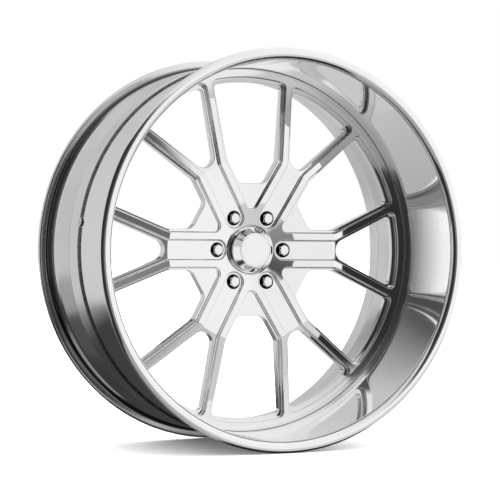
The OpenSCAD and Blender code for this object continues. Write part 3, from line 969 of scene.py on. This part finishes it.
def valve_pieces():
    round_part("valve_stem_skin", [
        [1.2, -9.4, 0.2], [7.9, -9.4, 0.7], [7.9, -8, 0.3], [5.2, -8, 0], [5.2, 11, 0.5],
        [3.9, 11, 0], [3.9, 31, 0.4], [2.4, 31, 0.2], [2.4, 9, 0], [1.2, 9, 0]], "nickel_brass", "valve_stem")
    round_part("valve_grommet_skin", [
        [5.3, -7.9, 0], [8.5, -7.9, 0.5], [8.5, -6.4, 0.5], [5.7, -6.4, 0], [5.7, -0.6, 0], [5.3, -0.6, 0]],
        "rubber", "valve_grommet")
    round_part("valve_washer_skin", [
        [5.4, 0.3, 0.1], [8.5, 0.3, 0.2], [8.5, 1.6, 0.3], [5.4, 1.6, 0.2]], "nickel_brass", "valve_washer")
    valve_nut()
    valve_cap()


def carried_nodes():
    """CAD nodes that show as they are."""
    looks = {"cap_o_ring": "rubber", "cap_retaining_ring": "spring_steel", "valve_core_barrel": "brass",
             "valve_core_pin": "brass", "valve_core_spring": "spring_steel", "valve_core_seal": "rubber",
             "valve_cap_seal": "rubber"}
    for name, look in looks.items():
        node = frame["nodes"][name]
        node.data.materials.clear()
        node.data.materials.append(LOOK[look])


# ---- studio

def floor():
    side = 30.0
    mesh = bpy.data.meshes.new("floor")
    mesh.from_pydata([(x * side, y * side, -FLANGE_R) for x, y in ((-1, -1), (1, -1), (1, 1), (-1, 1))], [],
                     [(0, 1, 2, 3)])
    obj = bpy.data.objects.new("floor", mesh)
    s = Shader("floor")
    s.set("Base Color", s.tint(s.spread(s.noise(0.6), 0, 1), (0.93, 0.93, 0.93), (0.95, 0.95, 0.95)))
    s.set("Roughness", 1.0)
    mesh.materials.append(s.material)
    bpy.context.scene.collection.objects.link(obj)
    obj.visible_glossy = False


def card(name, corners, grey, *steps, turned=0):
    """Card that only reflections see, turned about Z.

    Each step (axis, start, end) fades it in along one of its own axes.
    """
    mesh = bpy.data.meshes.new(name)
    mesh.from_pydata(corners, [], [(0, 1, 2, 3)])
    obj = bpy.data.objects.new(name, mesh)
    s = Shader(name)
    s.set("Base Color", (0, 0, 0, 1))
    s.set("Roughness", 1.0)
    s.set("Specular IOR Level", 0.0)
    s.set("Emission Color", (1, 1, 1, 1))
    s.set("Emission Strength", grey)
    s.set("Alpha", masked(s, s.place, *steps))
    mesh.materials.append(s.material)
    bpy.context.scene.collection.objects.link(obj)
    obj.rotation_euler = (0, 0, math.radians(turned))
    obj.visible_camera = obj.visible_diffuse = obj.visible_shadow = False
    return s


def upright(x0, x1, z0, z1, y):
    return [(x0, y, z0), (x1, y, z0), (x1, y, z1), (x0, y, z1)]


def lying(x0, x1, y0, y1, z):
    return [(x0, y0, z), (x1, y0, z), (x1, y1, z), (x0, y1, z)]


def floor_shade():
    """The wheel's own shade on the floor behind it, which darkens the underside of the barrel."""
    card("floor_shade", lying(-1.4, 0.2, -0.1, 0.6, MM - FLANGE_R), 0.05,
         ("Y", 0.55, 0.24), ("X", 0.12, -0.10), ("X", -1.4, -1.1), turned=-37)


def lip_cards():
    """A soft box and a dark flag behind the wheel, which the deep lip reflects through the windows."""
    behind, side, bend = 0.9, 0.20, 1.3
    s = card("soft_box", upright(-0.40, -0.20, -side, side, behind), 1.0,
             ("Z", -side, 0.01 - side), ("Z", side, side - 0.01), ("X", -0.20, -0.22))
    parts = s.axes(s.place)
    across = s.math("MULTIPLY_ADD", s.math("MULTIPLY", parts["Z"], parts["Z"]), -bend, parts["X"])
    s.set("Emission Strength", s.spread(across, 1.0, 0.1, -0.35, -0.24))
    card("flag", upright(-0.28, 0.22, 0.19, 0.46, behind), 0.10,
         ("X", 0.22, -0.16), ("Z", 0.19, 0.21), ("Z", 0.46, 0.42))


def daylight(elevation, azimuth, strength, spread):
    """Soft light from far away, so that the floor is as pale far off as it is close by."""
    data = bpy.data.lights.new("daylight", "SUN")
    data.energy, data.angle = strength, math.radians(spread)
    obj = bpy.data.objects.new("daylight", data)
    obj.rotation_euler = (math.radians(90 - elevation), 0, math.radians(azimuth))
    bpy.context.scene.collection.objects.link(obj)
    obj.visible_glossy = False


class Room:
    """The world's nodes: brightness by direction."""

    def __init__(self):
        world = bpy.data.worlds.new("studio")
        bpy.context.scene.world = world
        world.use_nodes = True
        self.tree = world.node_tree
        self.tree.nodes.clear()
        parts = self.add("ShaderNodeSeparateXYZ", self.add("ShaderNodeTexCoord").outputs["Generated"]).outputs
        ahead = self.math("MULTIPLY", parts["Y"], -1)
        self.azimuth = self.math("MULTIPLY", self.math("ARCTAN2", parts["X"], ahead), 180 / math.pi)
        self.height = self.math("MULTIPLY", self.math("ARCSINE", parts["Z"]), 180 / math.pi)

    def add(self, kind, *links, **values):
        node = self.tree.nodes.new(kind)
        for key, value in values.items():
            setattr(node, key, value)
        for socket, source in zip(node.inputs, links):
            if hasattr(source, "is_output"):
                self.tree.links.new(source, socket)
            else:
                socket.default_value = source
        return node

    def math(self, operation, *values):
        return self.add("ShaderNodeMath", *values, operation=operation).outputs[0]

    def rise(self, value, middle, width):
        """0 below middle, 1 above it, with a soft change over width."""
        return self.add("ShaderNodeMapRange", value, middle - width / 2, middle + width / 2, 0.0, 1.0,
                        interpolation_type="SMOOTHSTEP").outputs[0]

    def ring(self, stops):
        """Brightness round the wheel from (azimuth, brightness) pairs."""
        node = self.add("ShaderNodeValToRGB", self.math("MULTIPLY_ADD", self.azimuth, 1 / 360, 0.5))
        elements = node.color_ramp.elements
        for index, (angle, grey) in enumerate(stops):
            at = (angle + 180) / 360
            element = elements[index] if index < 2 else elements.new(at)
            element.position, element.color = at, (grey, grey, grey, 1)
        return node.outputs["Color"]

    def mix(self, low, high, share):
        return self.math("MULTIPLY_ADD", self.math("SUBTRACT", high, low), share, low)


def dark_card(room):
    """Share of the dark card in front of the wheel: it is taller on its left, and its foot slopes."""
    top = room.mix(24.0, 39.0, room.math("SUBTRACT", 1.0, room.rise(room.azimuth, -4, 4)))
    foot = room.math("MINIMUM", -15.0, room.math("MULTIPLY_ADD", room.azimuth, 0.55, -12.0))
    share = room.math("MULTIPLY", room.rise(room.azimuth, -70, 16),
                      room.math("SUBTRACT", 1.0, room.rise(room.azimuth, 12.5, 2.5)))
    share = room.math("MULTIPLY", share, room.rise(room.math("SUBTRACT", room.height, foot), 0, 3))
    return room.math("MULTIPLY", share, room.rise(room.math("SUBTRACT", top, room.height), 0, 3))


def studio():
    """White room for the camera. Reflections see white on the right, grey behind and a dark card in front."""
    room = Room()
    sky = room.ring([(-180, 0.57), (-164, 0.62), (-150, 0.66), (-110, 0.60), (-60, 0.62), (0, 0.80),
                     (15, 0.88), (31, 0.95), (95, 1.0), (146, 1.0), (153, 0.66), (168, 0.58)])
    floor_far = room.ring([(-180, 0.58), (-150, 0.45), (-105, 0.38), (-62, 0.06), (-48, 0.06), (-28, 0.36),
                           (8, 0.44), (18, 0.62), (40, 0.68), (75, 0.68), (150, 0.62)])
    floor_near = room.ring([(-180, 0.03), (-145, 0.09), (-115, 0.09), (-95, 0.02), (-60, 0.05), (-20, 0.40),
                            (10, 0.42), (20, 0.03), (160, 0.01)])
    near_edge = room.ring([(-180, 0.36), (-165, 0.32), (-120, 0.28), (-60, 0.30), (-20, 0.46), (30, 0.44),
                           (150, 0.34)])
    depth = room.math("MULTIPLY", room.height, -0.01)
    far = room.mix(sky, floor_far, room.math("SUBTRACT", 1.0, room.rise(room.height, -12.5, 5)))
    open_room = room.mix(far, floor_near, room.rise(room.math("SUBTRACT", depth, near_edge), 0.0, 0.03))
    card_right = room.mix(0.27, 0.085, room.rise(room.height, 1, 22))
    card_grey = room.mix(0.03, card_right, room.rise(room.azimuth, -16, 12))
    glow = room.add("ShaderNodeBackground", room.mix(open_room, card_grey, dark_card(room)), 1.0)
    white = room.add("ShaderNodeBackground", (1, 1, 1, 1), 1.0)
    seen = room.add("ShaderNodeLightPath").outputs["Is Camera Ray"]
    shown = room.add("ShaderNodeMixShader", seen, glow.outputs[0], white.outputs[0])
    room.add("ShaderNodeOutputWorld", shown.outputs[0])


def camera():
    """Camera at the photo's angle, a little left of the wheel's axis."""
    distance, azimuth, elevation, roll, aim = 3.7229, -26.05, 0.18, 0.4, Vector((-0.0019, 0.0009, 0))
    flat = math.cos(math.radians(elevation))
    back = Vector((flat * math.sin(math.radians(azimuth)), -flat * math.cos(math.radians(azimuth)),
                   math.sin(math.radians(elevation))))
    right = (-back).cross(Vector((0, 0, 1))).normalized()
    up = right.cross(-back)
    tilt = math.radians(roll)
    right, up = right * math.cos(tilt) + up * math.sin(tilt), up * math.cos(tilt) - right * math.sin(tilt)
    data = bpy.data.cameras.new("camera")
    data.sensor_width, data.lens, data.clip_end = 36, 140.3, 200
    obj = bpy.data.objects.new("camera", data)
    obj.matrix_world = Matrix((right, up, back)).transposed().to_4x4()
    obj.location = aim + back * distance
    bpy.context.scene.collection.objects.link(obj)
    bpy.context.scene.camera = obj


forged_center()
outer_half()
inner_half()
seam_bead()
rear_bead()
cap_pieces()
for k in range(1, SPOKES + 1):
    nut(k)
valve_pieces()
carried_nodes()
floor()
studio()
floor_shade()
lip_cards()
daylight(elevation=88, azimuth=20, strength=6.0, spread=170)
camera()
bpy.context.scene.view_settings.view_transform = "Standard"
